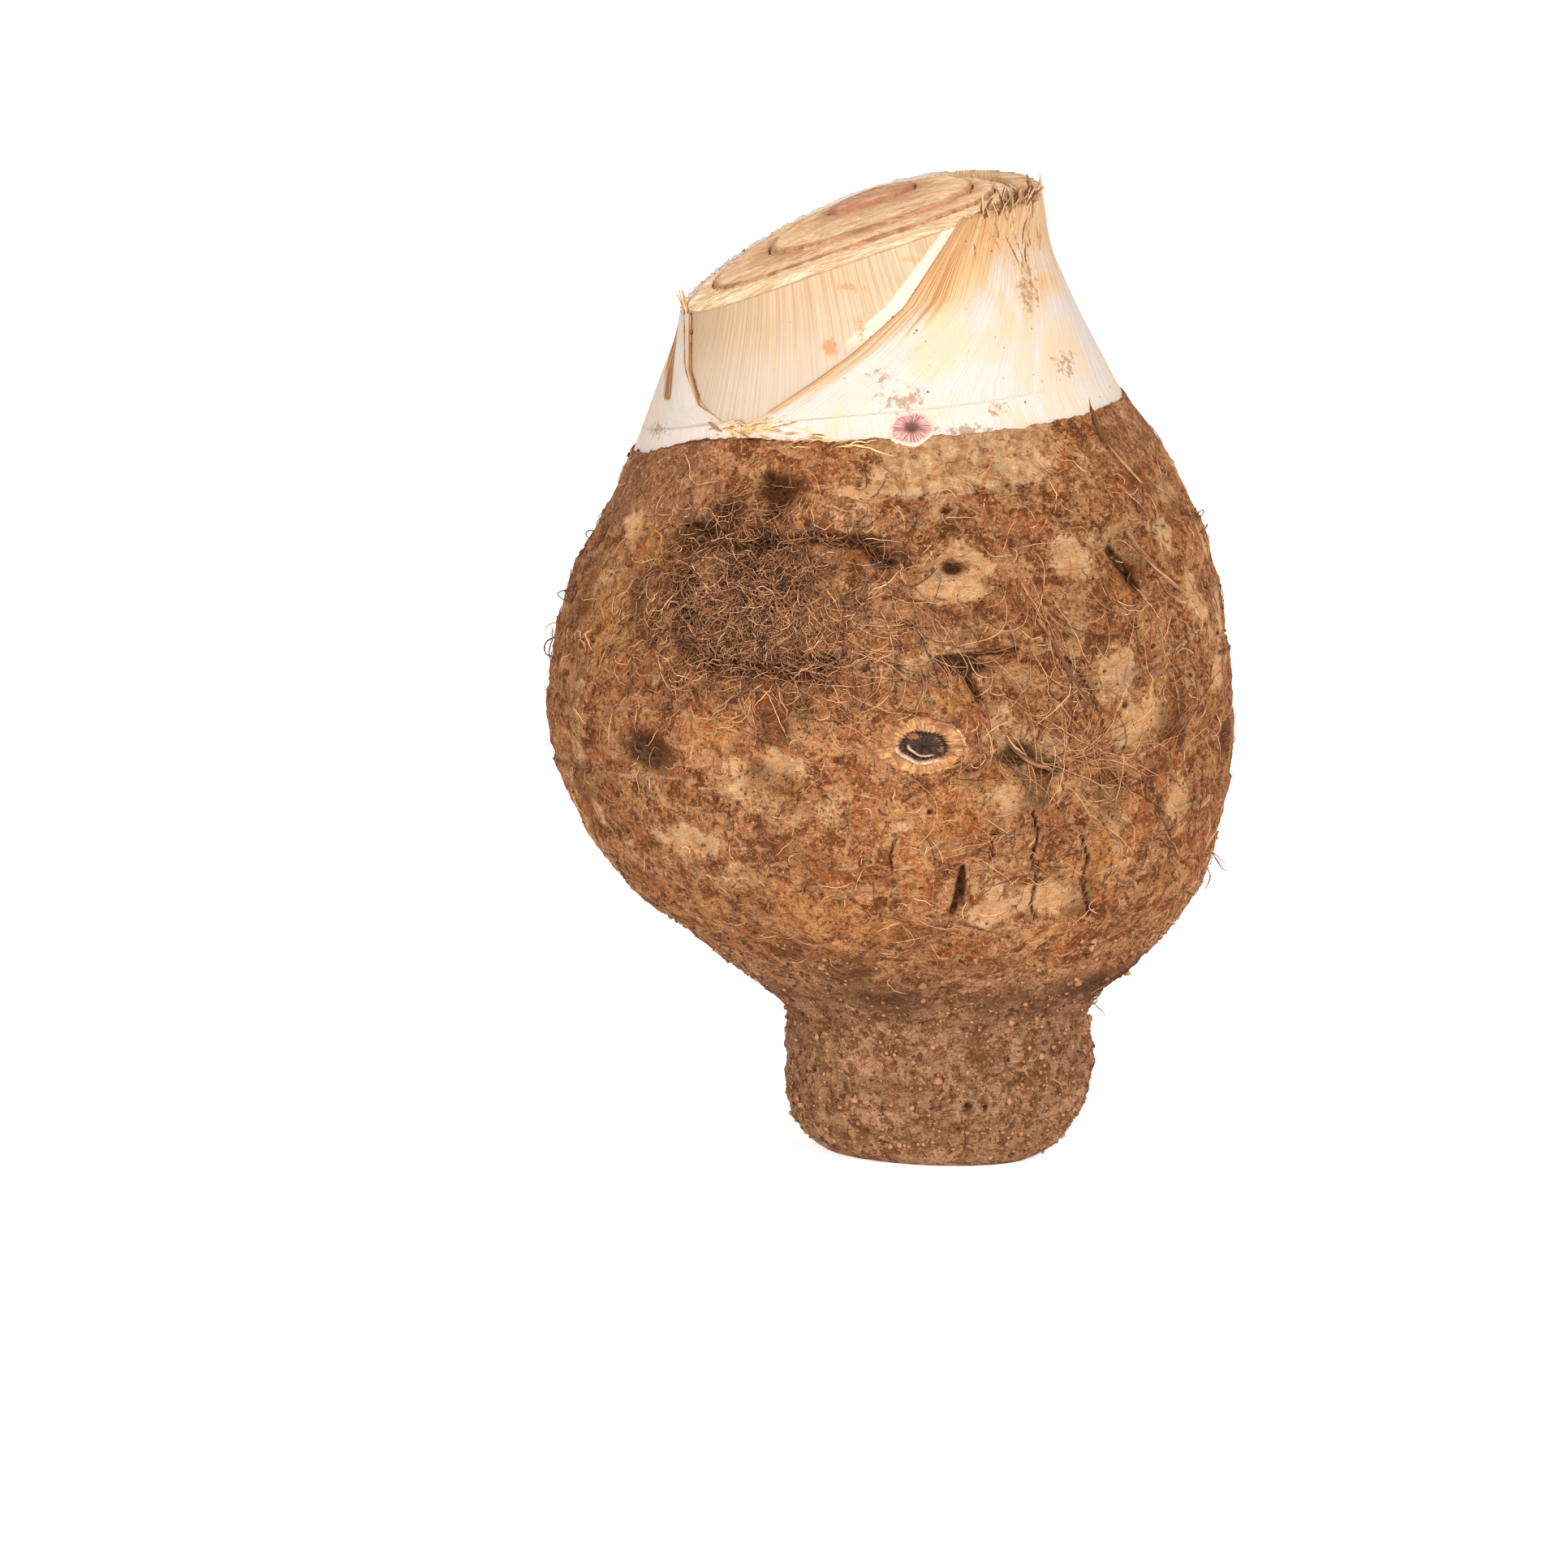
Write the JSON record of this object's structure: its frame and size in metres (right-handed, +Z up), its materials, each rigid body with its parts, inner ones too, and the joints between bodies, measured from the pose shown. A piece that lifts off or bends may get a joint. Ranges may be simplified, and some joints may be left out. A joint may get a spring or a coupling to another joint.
{
  "type": "taro root",
  "caption": "Whole taro root with rough brown ringed skin, a narrower knob below and a slant-cut cream leaf-stalk stump on top; a food vegetable that stands on its knob.",
  "frame": {"origin": "on the surface it stands on, under the middle of the bounding box", "axes": "+Z up along the root from the knob to the cut leaf stalks; the front, with the round bud scar, faces -Y"},
  "size_m": [0.1424, 0.1352, 0.2034],
  "materials": {
    "corm_skin": "rough fibrous brown skin",
    "sheath_outer_cream": "smooth moist cream stalk",
    "second_leaf_flesh": "smooth greyish cream stalk",
    "third_leaf_flesh": "cut pale yellow flesh",
    "fourth_leaf_flesh": "cut pale yellow flesh",
    "heart_leaf_reddish": "cut reddish brown leaf",
    "bud_pink": "satin pink bud",
    "root_dark": "dry dark root"
  },
  "bodies": {
    "root": {"corm": "corm_skin", "outer_leaf_sheath": "sheath_outer_cream", "second_leaf_sheath": "second_leaf_flesh", "third_leaf_sheath": "third_leaf_flesh", "fourth_leaf_sheath": "fourth_leaf_flesh", "heart_leaf": "heart_leaf_reddish", "axillary_bud": "bud_pink", "root_upper": "root_dark", "root_side": "root_dark", "root_loop": "root_dark", "root_low": "root_dark"}
  },
  "joints": []
}
